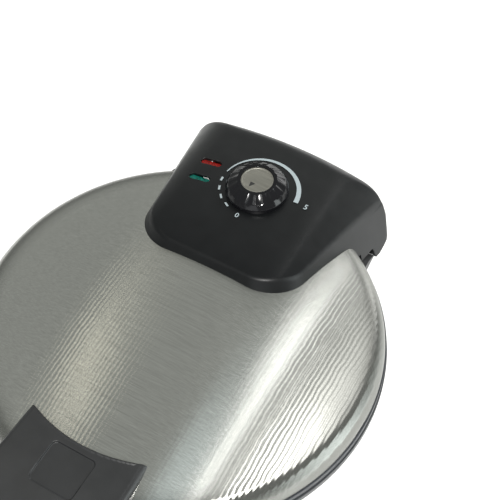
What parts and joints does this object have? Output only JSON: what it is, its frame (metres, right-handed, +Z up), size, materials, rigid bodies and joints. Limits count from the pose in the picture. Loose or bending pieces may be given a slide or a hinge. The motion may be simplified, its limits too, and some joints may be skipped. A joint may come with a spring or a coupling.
{
  "type": "electric_roti_maker",
  "caption": "Electric roti maker: a round contact cooker with a brushed steel dome lid, black hinged control hood with a thermostat knob, two lamps and a front lid handle.",
  "frame": {"origin": "on the table, under the middle of the whole outline", "axes": "X to the user's right, Y to the rear, Z up"},
  "size_m": [0.3364, 0.409, 0.1271],
  "materials": {
    "body_plastic": "fine-grained black moulding, dull",
    "hood_plastic": "smooth black moulding with a soft gloss",
    "handle_plastic": "smooth black moulding, satin",
    "hinge_plastic": "black moulding, dull",
    "base_rim_plastic": "smooth dark grey rim, satin",
    "rim_plastic": "smooth black rim, satin gloss",
    "brushed_steel_lid": "stainless sheet brushed from side to side",
    "zinc_steel": "zinc-plated steel, dull",
    "pin_steel": "turned steel",
    "aluminised_steel": "bright pressed sheet",
    "element_sheath": "heat-darkened steel tube",
    "non_stick": "dark non-stick coating with a fine speckle",
    "ceramic_white": "pale moulded insulation",
    "lamp_white": "white heat-proof moulding",
    "neon_glass": "small clear lamp",
    "foot_rubber": "soft black rubber",
    "lens_red": "dark red translucent window",
    "lens_green": "dark green translucent window",
    "knob_gloss": "polished black",
    "cap_metal": "turned metal cap, satin"
  },
  "bodies": {
    "base": {"base_shell": "body_plastic", "base_ring": "base_rim_plastic", "bottom_cover": "zinc_steel", "rubber_feet": "foot_rubber", "cover_screws": "zinc_steel", "lower_plate": "non_stick", "lower_element": "element_sheath", "lower_element_clamp": "zinc_steel", "lower_reflector": "aluminised_steel", "lower_plate_bolts": "zinc_steel", "terminal_block": "ceramic_white", "cord_gland": "handle_plastic", "base_handle": "handle_plastic", "base_handle_screws": "zinc_steel", "hinge_bracket": "hinge_plastic", "hinge_bracket_screws": "zinc_steel", "hinge_pins": "pin_steel"},
    "lid": {"lid_dome": "brushed_steel_lid", "lid_ring": "rim_plastic", "upper_plate": "non_stick", "upper_element": "element_sheath", "upper_element_clamp": "zinc_steel", "upper_reflector": "aluminised_steel", "upper_plate_bolts": "zinc_steel", "control_hood": "hood_plastic", "hood_floor": "hinge_plastic", "hood_screws": "zinc_steel", "thermostat_body": "ceramic_white", "thermostat_bracket": "zinc_steel", "thermostat_nut": "pin_steel", "thermal_fuse": "zinc_steel", "lamp_holder": "lamp_white", "neon_lamps": "neon_glass", "red_lens": "lens_red", "green_lens": "lens_green", "lid_handle": "handle_plastic", "lid_handle_screws": "zinc_steel"},
    "knob": {"thermostat_shaft": "pin_steel", "knob_body": "knob_gloss", "knob_cap": "cap_metal"}
  },
  "joints": [
    {"name": "lid_hinge", "type": "hinge", "parent": "base", "child": "lid", "pos_m": [0, 0.1775, 0.061], "axis": [-1, 0, 0], "range_deg": [0, 95]},
    {"name": "knob_turn", "type": "hinge", "parent": "lid", "child": "knob", "pos_m": [0, 0.1354, 0.1132], "axis": [0, 0, -1], "range_deg": [-13, 251]}
  ]
}
